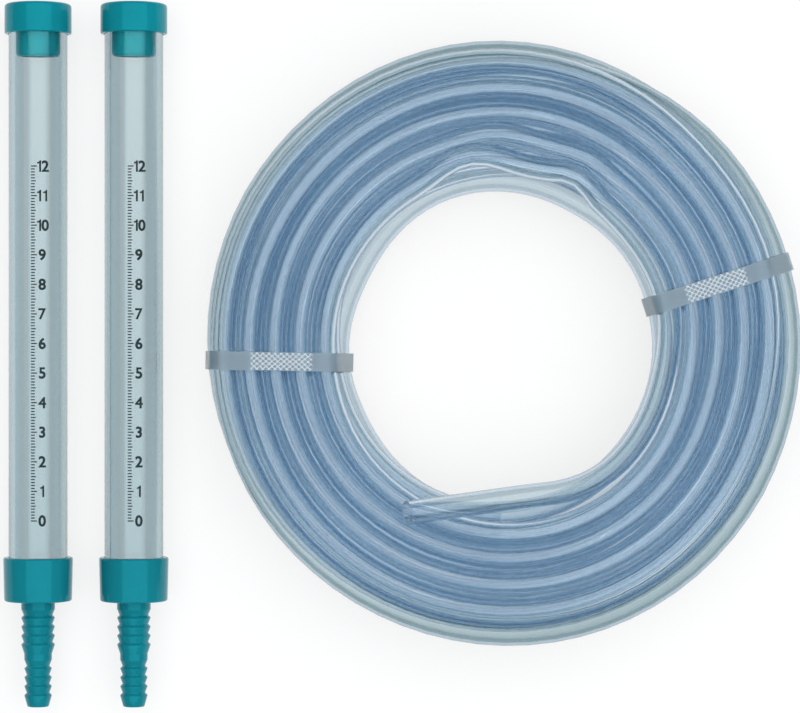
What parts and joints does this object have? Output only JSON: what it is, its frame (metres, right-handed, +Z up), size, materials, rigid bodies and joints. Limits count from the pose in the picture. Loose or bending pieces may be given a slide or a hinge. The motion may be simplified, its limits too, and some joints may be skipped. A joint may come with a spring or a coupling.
{
  "type": "water level",
  "caption": "Water level set lying flat: graduated clear sight tubes with push-in stoppers and stepped ribbed hose tails, beside a strapped round coil of clear hose.",
  "frame": {"origin": "on the table, under the middle of the whole set", "axes": "+X from the sight tubes to the coil, +Y along the sight tubes towards their stoppers, +Z up from the table"},
  "size_m": [0.2708, 0.2398, 0.0413],
  "materials": {
    "clear_tube": "gloss",
    "teal_moulding": "satin",
    "clear_hose": "gloss",
    "tie_band": "satin",
    "seal_rubber": "matte"
  },
  "bodies": {
    "coil": {"hose_coil": "clear_hose", "tie_strap_left": "tie_band", "tie_strap_right": "tie_band"},
    "left_gauge": {"sight_tube_left": "clear_tube", "hose_barb_left": "teal_moulding", "seal_washer_left": "seal_rubber"},
    "left_stopper": {"stopper_left": "teal_moulding"},
    "right_gauge": {"sight_tube_right": "clear_tube", "hose_barb_right": "teal_moulding", "seal_washer_right": "seal_rubber"},
    "right_stopper": {"stopper_right": "teal_moulding"}
  },
  "joints": [
    {"name": "left_gauge_lift", "type": "slide", "parent": "coil", "child": "left_gauge", "axis": [0, 0, 1], "range_m": [0, 0.06]},
    {"name": "left_stopper_pull", "type": "slide", "parent": "left_gauge", "child": "left_stopper", "axis": [0, 1, 0], "range_m": [0, 0.04]},
    {"name": "right_gauge_lift", "type": "slide", "parent": "coil", "child": "right_gauge", "axis": [0, 0, 1], "range_m": [0, 0.06]},
    {"name": "right_stopper_pull", "type": "slide", "parent": "right_gauge", "child": "right_stopper", "axis": [0, 1, 0], "range_m": [0, 0.04]}
  ]
}
